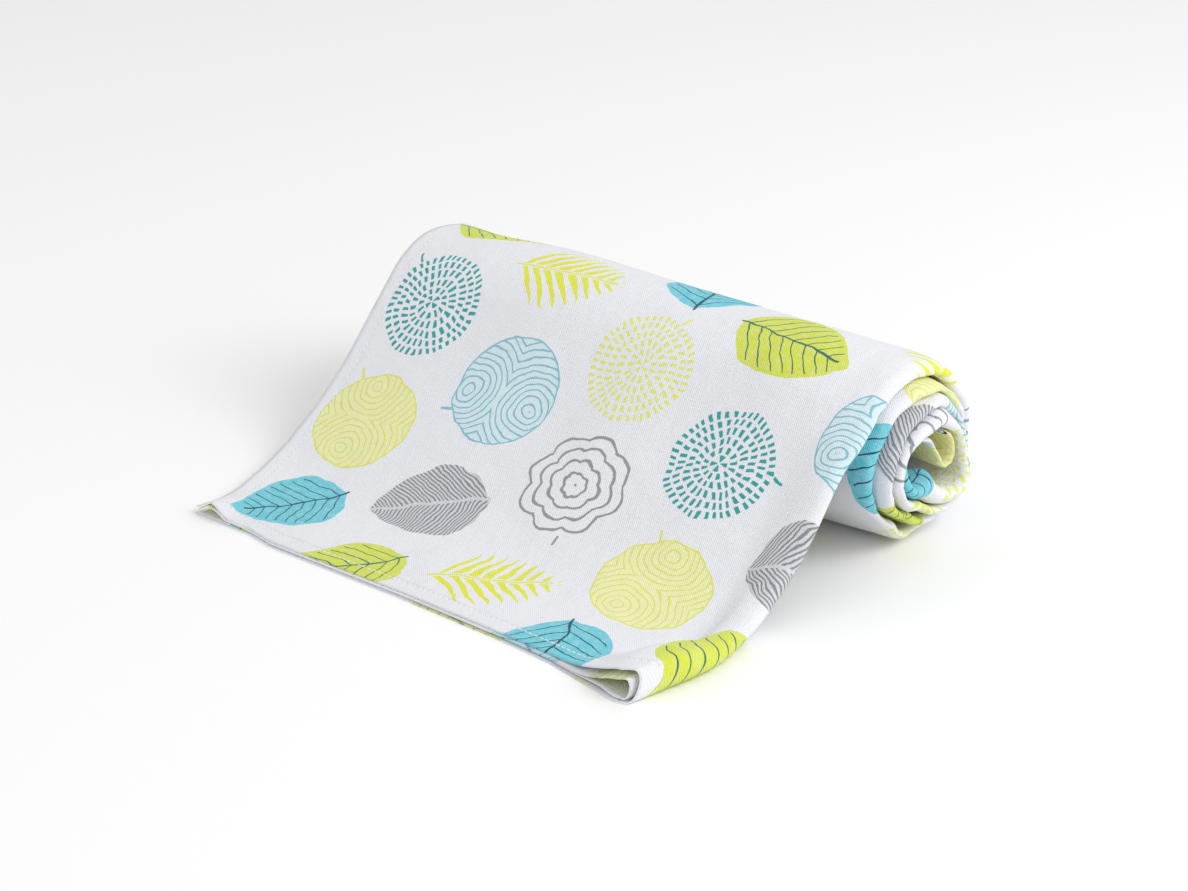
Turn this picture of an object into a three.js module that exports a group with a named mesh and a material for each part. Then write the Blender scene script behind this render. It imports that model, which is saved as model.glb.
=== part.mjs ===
// Folded and rolled muslin cloth
// One square of thin woven cotton is folded in four to a long strip, and the strip is loosely rolled up.
// The free end comes forward over the top of the roll, slopes down and lies flat in front of it.
// Lengths are in millimetres and angles in degrees. +X runs along the roll to the end where its folds
// show, the free end points to -Y, and +Z is up. The origin is on the surface that the cloth rests on,
// under the middle of the cloth's box.

import * as THREE from "three";

// The strip, across its width. Its layers are numbered from 0, the upper one, to 3.
const STRIP_WIDTH = 300;
const LAYER = 1.0;
const AIR = 0.3;
const LEVELS = [1.5, 0.5, -0.5, -1.5].map((steps) => steps * (LAYER + AIR));
const LOWEST = LEVELS.length - 1;
const HALF_STACK = LEVELS[0] + LAYER / 2;
const FOLD_REACH = 2.6;
const REACH_PER_OPENING = 0.45;
const OUTER_FOLD_ANGLES = [60, 20, -20, -60];
const INNER_FOLD_ANGLES = [45, -45];
const INNER_FOLD_INSET = 1.6;
const HEM_INSET = 3;

// The roll, measured to the middle of the strip's thickness
const ROLL_HALF_DEPTH = 50.8;
const ROLL_HALF_HEIGHT = 47.6;
const ROLL_CENTRE_HEIGHT = 44.9;
const TURN_PITCH = 6.8;
const TURNS = 4;
const STEPS_A_TURN = 16;
const LEAVES_ROLL_AT = -48.6;
const LEAN = 5;
const SAG_BACK = 4;
const SKEW = 0.012;

// The free end, from the front edge to where it leaves the roll
const FRONT_EDGE = -200;
const FLOOR_END = -152;
const SLOPE_FOOT_PULL = 34;
const SLOPE_TOP_PULL = 52;
const FLOOR_STEPS = 5;
const SLOPE_STEPS = 9;
const TANGENT_TURNS = 0.01;

// The strip's inner end, which crosses the hollow of the roll, turns back and ends under its top.
// back and up are measured from the roll's centre.
const CORE_FLAP = [
  { back: -9.5, up: 18.0 },
  { back: -1.0, up: 15.0 },
  { back: 6.0, up: 6.0 },
  { back: 11.6, up: -3.2 },
  { back: 16.0, up: -7.4 },
  { back: 20.4, up: -4.0 },
  { back: 20.8, up: 2.8 },
  { back: 17.8, up: 9.6 },
  { back: 12.2, up: 13.4 },
];
const CORE_STEPS = 13;
const CORE_LEAD_IN_TURNS = 0.06;

// How far the front edge runs past its nominal line, across the strip
const FRONT_LINE = [
  { across: -150, forward: -6 },
  { across: -130, forward: 0 },
  { across: 0, forward: 1 },
  { across: 80, forward: 10 },
  { across: 135, forward: 16 },
  { across: 150, forward: 12 },
];

// How much higher or lower than its middle the roll stands along its length
const ROLL_HEIGHT = [
  { across: -150, scale: 1.0 },
  { across: 0, scale: 1.02 },
  { across: 108, scale: 1.02 },
  { across: 150, scale: 0.98 },
];

// How far each layer stops short of the lowest one at the front edge
const SHORT_OF_FRONT = [5, 3, 1, 0];

// Where the fold on the right-hand edge of the free end stands open, along the strip from the front
const OPEN_FOLD = [
  { along: 0, rise: 12.5 },
  { along: 22, rise: 11 },
  { along: 42, rise: 4 },
  { along: 70, rise: 5 },
  { along: 110, rise: 3.5 },
  { along: 180, rise: 1.5 },
];

// How much of an opening each layer follows, from the one that moves most
const FOLD_SHARE = [1, 0.62, 0.22, 0];

// Where the fold puffs out of the roll or into its hollow, by turn
const ROLL_FOLD = [
  { turn: 0, out: 1.5, in: 0 },
  { turn: 0.18, out: 4, in: 0.3 },
  { turn: 0.42, out: 1, in: 0.3 },
  { turn: 0.52, out: 0, in: 0 },
  { turn: 0.78, out: 0, in: 0 },
  { turn: 1, out: 0.3, in: 0.3 },
  { turn: 3.45, out: 0.3, in: 0.3 },
  { turn: 3.64, out: 0.3, in: 8 },
  { turn: 3.85, out: 0.3, in: 3 },
  { turn: 4, out: 0.3, in: 0.3 },
];

// The front left corner, whose two upper layers arch off the ones below
const CORNER_ARCH = [
  { across: -150, rise: 1.5 },
  { across: -131, rise: 6.5 },
  { across: -117, rise: 3.5 },
  { across: -100, rise: 0 },
];
const CORNER_ARCH_REACH = 30;
const ARCH_SHARE = [1, 0.75, 0, 0];
const CORNER_DRAW_IN = 7;
const CORNER_DRAW_REACH = 45;
const FOLD_OPENING_WIDTH = 42;

// Linear reading of a short table at one place
function read(table, place, key, value) {
  if (place <= table[0][key]) return table[0][value];
  for (let row = 1; row < table.length; row++) {
    const low = table[row - 1];
    const high = table[row];
    if (place <= high[key]) {
      const part = (place - low[key]) / (high[key] - low[key]);
      return THREE.MathUtils.lerp(low[value], high[value], part);
    }
  }
  return table[table.length - 1][value];
}

// Middle of the strip on the wound part: a shrinking ellipse that leans forward and sags on the floor
function onRoll(turn) {
  const angle = THREE.MathUtils.degToRad(LEAVES_ROLL_AT + 360 * turn);
  const halfDepth = ROLL_HALF_DEPTH - TURN_PITCH * turn;
  const halfHeight = ROLL_HALF_HEIGHT - TURN_PITCH * turn;
  const up = halfHeight * Math.cos(angle);
  const lowerBack = Math.max(0, Math.sin(angle)) * Math.max(0, -Math.cos(angle));
  const back = halfDepth * Math.sin(angle) - (LEAN * up) / ROLL_HALF_HEIGHT + 2 * SAG_BACK * lowerBack;
  return new THREE.Vector2(back, Math.max(ROLL_CENTRE_HEIGHT + up, HALF_STACK));
}

// Rows of the strip from its front edge to its inner end. Each has its place in the y-z plane and
// either its distance along the free end or its turn.
function stripRows() {
  const rows = [];
  for (let step = 0; step < FLOOR_STEPS; step++) {
    const part = step / FLOOR_STEPS;
    const y = THREE.MathUtils.lerp(FRONT_EDGE, FLOOR_END, part);
    rows.push({ place: new THREE.Vector2(y, HALF_STACK), turn: 0, front: 1 - part });
  }
  const top = onRoll(0);
  const offTheRoll = top.clone().sub(onRoll(TANGENT_TURNS)).normalize();
  const slopeTop = offTheRoll.multiplyScalar(SLOPE_TOP_PULL).add(top);
  const foot = new THREE.Vector2(FLOOR_END, HALF_STACK);
  const slopeFoot = new THREE.Vector2(FLOOR_END + SLOPE_FOOT_PULL, HALF_STACK);
  const slope = new THREE.CubicBezierCurve(foot, slopeFoot, slopeTop, top);
  for (let step = 0; step < SLOPE_STEPS; step++) {
    rows.push({ place: slope.getPointAt(step / SLOPE_STEPS), turn: 0, front: 0 });
  }
  const turnSteps = TURNS * STEPS_A_TURN;
  for (let step = 0; step <= turnSteps; step++) {
    const turn = step / STEPS_A_TURN;
    rows.push({ place: onRoll(turn), turn, front: 0 });
  }
  const flapPoints = CORE_FLAP.map(({ back, up }) => new THREE.Vector2(back, ROLL_CENTRE_HEIGHT + up));
  const leadIn = onRoll(TURNS - CORE_LEAD_IN_TURNS);
  const flap = new THREE.SplineCurve([leadIn, onRoll(TURNS), ...flapPoints]);
  const flapStart = leadIn.distanceTo(onRoll(TURNS)) / flap.getLength();
  for (let step = 1; step <= CORE_STEPS; step++) {
    const part = THREE.MathUtils.lerp(flapStart, 1, step / CORE_STEPS);
    rows.push({ place: flap.getPointAt(part), turn: TURNS, front: 0 });
  }
  rows.forEach((row, index) => {
    const before = rows[Math.max(index - 1, 0)];
    const after = rows[Math.min(index + 1, rows.length - 1)];
    const along = after.place.clone().sub(before.place).normalize();
    row.outward = new THREE.Vector2(-along.y, along.x);
    row.along = index === 0 ? 0 : before.along + before.place.distanceTo(row.place);
  });
  return rows;
}

// How far the fold opens at a row, outward and inward
function foldOpening(row) {
  if (row.turn === 0) return { out: read(OPEN_FOLD, row.along, "along", "rise"), in: 0 };
  return { out: read(ROLL_FOLD, row.turn, "turn", "out"), in: read(ROLL_FOLD, row.turn, "turn", "in") };
}

// Middle line of the folded strip across its width, from the upper hem to the inner one, in one row.
// Each point is a place across the strip, a height above the strip's middle and a layer number.
function foldedLine(row) {
  const opening = foldOpening(row);
  const corner = Math.exp(-((row.along / CORNER_ARCH_REACH) ** 2));
  const drawIn = CORNER_DRAW_IN * Math.max(0, 1 - row.along / CORNER_DRAW_REACH) ** 2;
  const left = -STRIP_WIDTH / 2;
  const right = STRIP_WIDTH / 2 - drawIn;
  const foldStart = STRIP_WIDTH / 2 - FOLD_OPENING_WIDTH;

  const height = (layer, across) => {
    const open = THREE.MathUtils.smoothstep(across, foldStart, right - FOLD_REACH);
    const arch = read(CORNER_ARCH, across, "across", "rise") * corner * ARCH_SHARE[layer];
    const out = opening.out * FOLD_SHARE[layer] * open;
    const inward = opening.in * FOLD_SHARE[LOWEST - layer] * open;
    return LEVELS[layer] + arch + out - inward;
  };
  const outerReach = FOLD_REACH + REACH_PER_OPENING * Math.max(opening.out, opening.in);
  const outerCentre = right - outerReach;
  const innerCentre = outerCentre - INNER_FOLD_INSET;

  const line = [];
  const layerRun = (layer, places) => {
    for (const across of places) line.push({ across, height: height(layer, across), layer });
  };
  const foldRun = (fromLayer, toLayer, centre, reach, angles) => {
    const from = height(fromLayer, centre);
    const to = height(toLayer, centre);
    for (const angle of angles) {
      const turned = THREE.MathUtils.degToRad(angle);
      line.push({
        across: centre + reach * Math.cos(turned),
        height: (from + to) / 2 + ((from - to) * Math.sin(turned)) / 2,
        layer: (fromLayer + toLayer) / 2 + ((fromLayer - toLayer) * Math.sin(turned)) / 2,
      });
    }
  };
  const archRun = CORNER_ARCH.slice(1).map((point) => point.across);
  const middle = 0;

  layerRun(0, [left, ...archRun, middle, foldStart, outerCentre]);
  foldRun(0, 3, outerCentre, outerReach, OUTER_FOLD_ANGLES);
  layerRun(3, [outerCentre, foldStart, middle, left + FOLD_REACH]);
  foldRun(3, 2, left + FOLD_REACH, -FOLD_REACH + LAYER / 2, INNER_FOLD_ANGLES);
  layerRun(2, [left + FOLD_REACH, middle, foldStart, innerCentre]);
  foldRun(2, 1, innerCentre, outerReach / 2, INNER_FOLD_ANGLES);
  layerRun(1, [innerCentre, foldStart, middle, ...archRun.reverse(), left + HEM_INSET]);
  return line;
}

// Closed outline of the cloth in one row: out along one face of the sheet and back along the other
function sheetOutline(line) {
  const faces = [[], []];
  line.forEach((point, index) => {
    const before = line[Math.max(index - 1, 0)];
    const after = line[Math.min(index + 1, line.length - 1)];
    const along = new THREE.Vector2(after.across - before.across, after.height - before.height).normalize();
    for (const side of [0, 1]) {
      const offset = side === 0 ? LAYER / 2 : -LAYER / 2;
      faces[side].push({
        across: point.across - along.y * offset,
        height: point.height + along.x * offset,
        layer: point.layer,
      });
    }
  });
  return [...faces[0], ...faces[1].reverse()];
}

// A point of the outline, placed in space
function placed(point, row, leavesAt) {
  const across = point.across + SKEW * (row.along - leavesAt);
  const shortOf = read(
    SHORT_OF_FRONT.map((short, layer) => ({ layer, short })),
    point.layer,
    "layer",
    "short",
  );
  const forward = read(FRONT_LINE, point.across, "across", "forward") - shortOf;
  const y = row.place.x + row.outward.x * point.height - forward * row.front;
  const height = row.place.y + row.outward.y * point.height;
  const z = height * read(ROLL_HEIGHT, point.across, "across", "scale");
  return [across, y, z];
}

// The whole cloth: the outline of every row, joined to the next, and closed at the strip's two ends
function muslinCloth() {
  const rows = stripRows();
  const leavesAt = rows[FLOOR_STEPS + SLOPE_STEPS].along;
  const outlines = rows.map((row) => sheetOutline(foldedLine(row)));
  const size = outlines[0].length;
  const positions = outlines.flatMap((outline, index) =>
    outline.flatMap((point) => placed(point, rows[index], leavesAt)),
  );
  const faces = [];
  for (let row = 0; row < rows.length - 1; row++) {
    for (let point = 0; point < size; point++) {
      const here = row * size + point;
      const next = row * size + ((point + 1) % size);
      const goesRight = outlines[row][(point + 1) % size].across > outlines[row][point].across;
      if (goesRight) {
        faces.push(here, next, here + size, next, next + size, here + size);
      } else {
        faces.push(here, next, next + size, here, next + size, here + size);
      }
    }
  }
  const lastRow = (rows.length - 1) * size;
  for (let point = 0; point < size / 2 - 1; point++) {
    const near = [point, point + 1, size - 1 - point, size - 2 - point];
    const [a, b, c, d] = near;
    faces.push(a, c, b, b, c, d);
    const [e, f, g, h] = near.map((corner) => corner + lastRow);
    faces.push(e, f, g, f, h, g);
  }
  const geometry = new THREE.BufferGeometry();
  geometry.setAttribute("position", new THREE.Float32BufferAttribute(positions, 3));
  geometry.setIndex(faces);
  geometry.computeVertexNormals();
  return geometry;
}

const muslin = new THREE.MeshStandardMaterial({ color: 0xf2f2f2, roughness: 0.9, metalness: 0 });
const cloth = new THREE.Mesh(muslinCloth(), muslin);
cloth.name = "muslin_cloth";

const group = new THREE.Group();
group.add(cloth);

const box = new THREE.Box3().setFromObject(group);
const centre = box.getCenter(new THREE.Vector3());
group.position.set(-centre.x, -centre.y, -box.min.z);

export default group;
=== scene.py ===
"""A folded and rolled muslin cloth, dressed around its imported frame.

The cloth is one square of thin woven cotton. It is folded in four to a long strip, and the strip is rolled
up from one end. The other end comes forward over the roll, slopes down and lies flat in front of it.
Every place of the cloth is worked out from two lengths: how far along the strip it is, and how far across
the unfolded cloth. Lengths are in metres and angles in degrees, in the frame of the CAD part, and the
print is drawn in millimetres.
"""

import logging
import math
from dataclasses import dataclass, field
from enum import IntEnum
from typing import NamedTuple

import bpy
import numpy as np
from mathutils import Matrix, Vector


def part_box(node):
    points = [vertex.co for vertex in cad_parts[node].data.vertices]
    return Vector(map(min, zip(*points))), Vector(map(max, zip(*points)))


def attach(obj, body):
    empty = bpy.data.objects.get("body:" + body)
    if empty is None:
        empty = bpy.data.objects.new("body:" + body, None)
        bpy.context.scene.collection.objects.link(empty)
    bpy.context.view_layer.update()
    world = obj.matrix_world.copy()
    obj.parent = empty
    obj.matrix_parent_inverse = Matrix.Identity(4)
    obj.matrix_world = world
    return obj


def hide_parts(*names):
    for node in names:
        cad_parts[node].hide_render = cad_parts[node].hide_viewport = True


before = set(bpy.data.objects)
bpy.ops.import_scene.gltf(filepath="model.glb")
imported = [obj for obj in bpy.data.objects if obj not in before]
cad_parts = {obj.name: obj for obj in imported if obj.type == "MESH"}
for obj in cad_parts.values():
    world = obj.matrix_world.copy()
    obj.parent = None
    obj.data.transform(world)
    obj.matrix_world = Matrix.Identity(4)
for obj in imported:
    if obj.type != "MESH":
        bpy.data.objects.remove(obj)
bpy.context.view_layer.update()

CLOTH_NODE = "muslin_cloth"

# A table's rows are a place and the values there, and a span is where something starts and where it ends.
# Stations are places, each with the number of steps from there to the next.
Table = tuple[tuple[float, ...], ...]
Span = tuple[float, float]
Point = tuple[float, float, float]
Stations = tuple[tuple[float, int], ...]
Grids = tuple[np.ndarray, np.ndarray, np.ndarray]
Socket = bpy.types.NodeSocket

log = logging.getLogger("muslin")


# Small helpers for shapes


def smoothstep(value: np.ndarray, low: float, high: float) -> np.ndarray:
    """Eases from 0 at low to 1 at high: 3 t^2 - 2 t^3, where t is the way from low to high.

    Args:
        value: Where to read it.
        low: Where it starts to rise.
        high: Where it has risen.

    Returns:
        Numbers from 0 to 1, in the shape of value.
    """
    part = np.clip((value - low) / (high - low), 0.0, 1.0)
    return part * part * (3.0 - 2.0 * part)


def stretch(value: np.ndarray, rise: Span, fall: Span) -> np.ndarray:
    """Eases from 0 to 1 over rise, and back to 0 over fall."""
    return smoothstep(value, *rise) * (1 - smoothstep(value, *fall))


def hump(value: np.ndarray, centre: float, reach: float) -> np.ndarray:
    """A bell of height 1 at centre: e to the power of minus (distance / reach) squared."""
    return np.exp(-(((value - centre) / reach) ** 2))


def read(table: Table, place: np.ndarray, column: int = 1) -> np.ndarray:
    """One column of a table at each place, on straight lines between the places that the table gives."""
    return np.interp(place, [row[0] for row in table], [row[column] for row in table])


def spaced(*stations: tuple[float, int]) -> np.ndarray:
    """Places from the first station to the last, evenly spaced from each to the next.

    Args:
        stations: The place of each station, and the number of steps from there to the next.

    Returns:
        The places in order.
    """
    runs = [
        np.linspace(here, after, steps, endpoint=False)
        for (here, steps), (after, _) in zip(stations[:-1], stations[1:])
    ]
    return np.concatenate([*runs, [stations[-1][0]]])


@dataclass(frozen=True)
class Ripple:
    """A smooth uneven surface: sine waves that run in different directions, over the root of their number.

    Each wave has a length of 0.7 to 1.5 times wavelength, and its own direction and phase. The seed picks
    them.
    """

    size: float
    wavelength: float
    seed: int
    waves: int = 7

    def at(self, along: np.ndarray, across: np.ndarray | float = 0.0) -> np.ndarray:
        """Heights of the surface, about -size to size.

        Args:
            along: First coordinate of each place, in metres.
            across: Second coordinate of each place, in metres.

        Returns:
            The heights, in the shape of along and across together.
        """
        draw = np.random.default_rng(self.seed)
        lowest, highest = (0, 0.7, 0), (np.pi, 1.5, 2 * np.pi)
        total = np.zeros(np.broadcast_shapes(np.shape(along), np.shape(across)))
        for turned, longer, phase in draw.uniform(lowest, highest, (self.waves, 3)):
            run = along * np.cos(turned) + across * np.sin(turned)
            total = total + np.sin(2 * np.pi * run / (self.wavelength * longer) + phase)
        return self.size * (total / math.sqrt(self.waves))


# The strip, seen along the roll


@dataclass
class StripPath:
    """The middle of the strip's thickness from its front edge to its inner end, in the y-z plane.

    It has four parts: a level line on the surface, a Bezier curve up the slope, a shrinking ellipse that
    leans forward, and a spline across the hollow of the roll. y and z are measured from the surface under
    the roll's centre.
    """

    # The roll: the half axes of its first turn, and how it winds and lies
    half_depth: float = 0.0516
    half_height: float = 0.0484
    centre_height: float = 0.0449
    turn_pitch: float = 0.0068
    turns: float = 4.0
    leaves_roll_at: float = -48.6
    lean: float = 0.005
    sag_back: float = 0.004
    eased_onto_surface: float = 0.0006
    # The free end and the slope, which leaves the surface and meets the roll by these pulls
    front_edge: float = -0.200
    floor_end: float = -0.152
    slope_foot_pull: float = 0.034
    slope_top_pull: float = 0.052
    half_stack: float = 0.0014
    cloth_length: float = 1.2
    # The flap in the hollow, as (y, z) from the roll's centre
    core_flap: Table = (
        (-0.0095, 0.0180), (-0.0010, 0.0150), (0.0060, 0.0060), (0.0116, -0.0032), (0.0160, -0.0074),
        (0.0204, -0.0040), (0.0208, 0.0028), (0.0178, 0.0096), (0.0122, 0.0134),
    )
    # How finely the path is worked out, and how far its corners are rounded
    step: float = 0.0005
    rounding: float = 0.003
    floor_steps: int = 100
    slope_steps: int = 400
    roll_steps: int = 3000
    flap_steps: int = 400

    def on_roll(self, turn: np.ndarray) -> np.ndarray:
        """Places on the wound part, by turn.

        The half axes of the ellipse shrink by turn_pitch for each turn. Its top leans forward by lean,
        and its lower back sags by sag_back. Where it would pass through the surface, it lies on it, and
        eases onto it by r log(1 + e^(height / r)), where r is eased_onto_surface.

        Args:
            turn: Turns from where the free end leaves the roll.

        Returns:
            An array of (y, z) for each turn.
        """
        turn = np.atleast_1d(np.asarray(turn, float))
        angle = np.radians(self.leaves_roll_at + 360 * turn)
        depth = self.half_depth - self.turn_pitch * turn
        height = self.half_height - self.turn_pitch * turn
        up = height * np.cos(angle)
        lower_back = np.maximum(0, np.sin(angle)) * np.maximum(0, -np.cos(angle))
        y = depth * np.sin(angle) - self.lean * up / self.half_height + 2 * self.sag_back * lower_back
        lift = (self.centre_height + up - self.half_stack) / self.eased_onto_surface
        z = self.half_stack + self.eased_onto_surface * np.logaddexp(0, lift)
        return np.stack([y, z], -1)

    def slope(self) -> np.ndarray:
        """The Bezier curve from the surface to the roll, tangent to both.

        Its inner control points lie slope_foot_pull along the surface and slope_top_pull along the roll.

        Returns:
            The curve's places as (y, z) rows, without its last.
        """
        a_little_further = 0.01
        top, before = self.on_roll([0.0, a_little_further])
        rising = (top - before) / np.linalg.norm(top - before)
        foot = np.array([self.floor_end, self.half_stack])
        pulls = [foot, foot + [self.slope_foot_pull, 0.0], top + self.slope_top_pull * rising, top]
        part = np.linspace(0, 1, self.slope_steps, endpoint=False)[:, None]
        shares = (1 - part) ** 3, 3 * part * (1 - part) ** 2, 3 * part**2 * (1 - part), part**3
        return sum(share * pull for share, pull in zip(shares, pulls))

    def flap(self) -> np.ndarray:
        """The inner end of the strip: a Catmull-Rom spline from the end of the last turn through core_flap.

        Returns:
            The spline's places as (y, z) rows, without its first.
        """
        just_before = 0.06
        last_turn = self.on_roll([self.turns - just_before, self.turns])
        points = np.vstack([last_turn, np.array(self.core_flap) + [0, self.centre_height]])
        points = np.vstack([points, 2 * points[-1] - points[-2]])
        spans = len(points) - 3
        place = np.linspace(0, spans, self.flap_steps + 1)[1:]
        span = np.minimum(place.astype(int), spans - 1)
        t = (place - span)[:, None]
        a, b, c, d = (points[span + k] for k in range(4))
        squared, cubed = 2 * a - 5 * b + 4 * c - d, 3 * b - a - 3 * c + d
        return 0.5 * (2 * b + (c - a) * t + squared * t**2 + cubed * t**3)

    def line(self) -> dict[str, np.ndarray]:
        """The whole path in even steps, its corners rounded off.

        Returns:
            Arrays along the path: s, the distance from the front edge; place, (y, z); outward, the
            direction away from the roll's centre; and turn, 0 before the roll and counted from there.
        """
        floor_y = np.linspace(self.front_edge, self.floor_end, self.floor_steps, endpoint=False)
        floor = np.stack([floor_y, np.full_like(floor_y, self.half_stack)], -1)
        turn = np.linspace(0, self.turns, self.roll_steps)
        raw = np.vstack([floor, self.slope(), self.on_roll(turn), self.flap()])
        before = np.zeros(self.floor_steps + self.slope_steps)
        turns = np.concatenate([before, turn, np.full(self.flap_steps, self.turns)])
        s = np.concatenate([[0], np.cumsum(np.linalg.norm(np.diff(raw, axis=0), axis=1))])
        even = np.arange(0, s[-1], self.step)
        place = np.stack([self.rounded_off(np.interp(even, s, raw[:, k])) for k in range(2)], -1)
        along = np.gradient(place, axis=0)
        along /= np.linalg.norm(along, axis=1)[:, None]
        outward = np.stack([-along[:, 1], along[:, 0]], -1)
        log.info("strip path is %.3f m long", s[-1])
        return {"s": even, "place": place, "outward": outward, "turn": np.interp(even, s, turns)}

    def rounded_off(self, values: np.ndarray) -> np.ndarray:
        """Mean of each value and its neighbours, weighted by a bell as wide as rounding.

        Args:
            values: One number for each step of the path.

        Returns:
            As many means.
        """
        reach = int(3 * self.rounding / self.step)
        weights = hump(np.arange(-reach, reach + 1) * self.step, 0.0, self.rounding)
        padded = np.pad(values, reach, mode="reflect", reflect_type="odd")
        return np.convolve(padded, weights / weights.sum(), "valid")


# The strip, seen across


class Layer(IntEnum):
    """The strip's four layers, from the one that shows on top."""

    TOP = 0
    SECOND = 1
    THIRD = 2
    LOWEST = 3


@dataclass
class FoldedStrip:
    """The cloth folded in four, around its path.

    Seen from its front end, the cloth runs from the hem at the left over the top layer to the right, round
    the outer fold, back along the lowest layer, round the left fold, along the third layer, round the
    inner fold, and back along the second layer to its other hem.

    A span whose name ends in _along is measured along the strip, one in _across across it, one in _turns in
    turns of the roll, and one in _above or _fades_at from the surface up. Two spans together are where a
    form rises and where it falls.
    """

    path: StripPath = field(default_factory=StripPath)
    width: float = 0.300
    thickness: float = 0.0005
    layer_pitch: float = 0.00072
    hem_inset: float = 0.003
    skew: float = 0.012

    # The grid, along the strip, and across it for the width above
    row_stations: Stations = (
        (0.0, 20), (0.030, 36), (0.180, 54), (0.420, 58), (0.720, 50), (0.960, 50), (1.19, 1),
    )
    top_stations: Stations = ((0.0, 10), (0.030, 44), (0.250, 22), (0.300, 1))
    hidden_stations: Stations = ((0.0, 3), (0.020, 12), (0.250, 10), (0.300, 1))
    outer_fold_columns: int = 15
    inner_fold_columns: int = 9

    # Folds: how far they stand out, and their lengths round
    fold_reach: float = 0.0030
    reach_per_opening: float = 0.45
    left_fold_share: float = 0.6
    inner_fold_share: float = 0.55
    inner_fold_inset: float = 0.0016
    outer_fold_length: float = 0.0085
    inner_fold_length: float = 0.004
    sharper_in_front: float = 0.55
    sharper_reach: float = 0.02

    # How much of an opening each layer follows, the top one first
    fold_share: tuple[float, ...] = (1.0, 0.80, 0.20, 0.0)
    arch_share: tuple[float, ...] = (1.0, 0.85, 0.0, 0.0)
    # (along the strip, how high the right-hand fold stands open, where across it starts, how fast it rises)
    open_fold: Table = (
        (0.000, 0.0135, 0.100, 0.036), (0.012, 0.0130, 0.108, 0.030), (0.022, 0.0120, 0.118, 0.020),
        (0.030, 0.0100, 0.127, 0.012), (0.039, 0.0075, 0.135, 0.009), (0.048, 0.0062, 0.136, 0.009),
        (0.068, 0.0062, 0.132, 0.012), (0.110, 0.0052, 0.122, 0.020), (0.180, 0.0040, 0.112, 0.030),
        (0.230, 0.0050, 0.110, 0.034), (0.290, 0.0028, 0.108, 0.038), (0.340, 0.0012, 0.108, 0.038),
    )
    # (across, share of the opening that each layer follows right at the front edge)
    mouth: Table = (
        (0.094, 0.00, 0.00, 0.00, 0.00), (0.106, 0.07, 0.03, 0.01, 0.00), (0.112, 0.16, 0.06, 0.03, 0.00),
        (0.119, 0.31, 0.14, 0.07, 0.00), (0.127, 0.52, 0.33, 0.10, 0.00), (0.134, 0.75, 0.56, 0.07, 0.00),
        (0.142, 0.89, 0.67, 0.03, 0.00),
    )
    mouth_reach: float = 0.014
    # (across, how far each layer stops short of the lowest one at the front edge)
    short_of_front: Table = (
        (-0.141, 0.0022, 0.0015, 0.0010, 0.0), (-0.110, 0.0012, 0.0004, 0.0010, 0.0),
        (0.060, 0.0022, 0.0006, 0.0015, 0.0), (0.090, 0.0030, 0.0008, 0.0016, 0.0),
        (0.110, 0.0045, 0.0014, 0.0018, 0.0), (0.127, 0.0058, 0.0024, 0.0020, 0.0),
        (0.150, 0.0065, 0.0040, 0.0012, 0.0),
    )
    # (across, how far the front edge runs past its nominal line)
    front_line: Table = (
        (-0.141, -0.002), (-0.120, -0.002), (-0.105, -0.003), (-0.086, 0.001), (0.000, 0.001),
        (0.060, 0.003), (0.093, 0.0054), (0.110, 0.0091), (0.127, 0.0126), (0.137, 0.0150),
        (0.143, 0.0135), (0.150, 0.0100),
    )
    # (along the strip, how far its left-hand edge is drawn in)
    left_edge: Table = (
        (0.000, 0.0084), (0.012, 0.0130), (0.021, 0.0122), (0.029, 0.0108), (0.036, 0.0090),
        (0.0465, 0.0060), (0.056, 0.0034), (0.068, 0.0006), (0.090, -0.0020), (0.124, -0.0020),
        (0.135, -0.0012), (0.170, -0.0006), (0.200, 0.0),
    )
    # (along the strip, how far the right-hand fold bulges out)
    bulge: Table = (
        (0.000, -0.0032), (0.010, 0.0006), (0.022, 0.0048), (0.032, 0.0066), (0.042, 0.0062),
        (0.054, 0.0042), (0.070, 0.0034), (0.087, 0.0022), (0.110, 0.0016), (0.133, 0.0012),
        (0.147, 0.0010), (0.160, 0.0016), (0.172, 0.0036), (0.185, 0.0030), (0.205, 0.0010), (0.230, 0.0),
    )
    # (turn, how far the right-hand fold stands out of the end of the roll)
    right_edge: Table = (
        (0.00, 0.0000), (0.20, 0.0006), (0.32, 0.0012), (0.45, -0.0025), (0.60, -0.0005), (0.75, 0.0025),
        (0.90, 0.0025), (1.10, 0.0020), (1.40, -0.0020), (1.65, 0.0025), (1.90, 0.0060), (2.10, 0.0040),
        (2.30, 0.0000), (2.47, 0.0030), (2.62, 0.0040), (2.90, 0.0060), (3.10, 0.0050), (3.32, 0.0010),
        (3.43, 0.0012), (3.51, 0.0052), (3.58, 0.0045), (3.66, 0.0040), (3.90, 0.0030), (4.00, -0.0010),
    )
    # (along the strip, how far its right-hand edge stands off the even slope)
    slope_edge: Table = (
        (0.055, 0.0), (0.087, -0.0026), (0.115, -0.0030), (0.133, -0.0014), (0.147, 0.0006),
        (0.160, 0.0028), (0.170, 0.0034), (0.182, 0.0016), (0.200, -0.0008), (0.225, 0.0),
    )
    slope_edge_across: Span = (0.085, 0.140)
    # (across, how high the roll stands, as a share of its nominal height)
    roll_height: Table = (
        (-0.150, 1.042), (-0.128, 1.038), (-0.104, 1.052), (-0.073, 1.069), (-0.055, 1.068),
        (-0.012, 1.050), (0.005, 1.038), (0.035, 1.036), (0.060, 1.029), (0.090, 1.029),
        (0.110, 1.020), (0.126, 0.995), (0.138, 0.958), (0.150, 0.925),
    )
    roll_height_along: Span = (0.10, 0.20)
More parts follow.
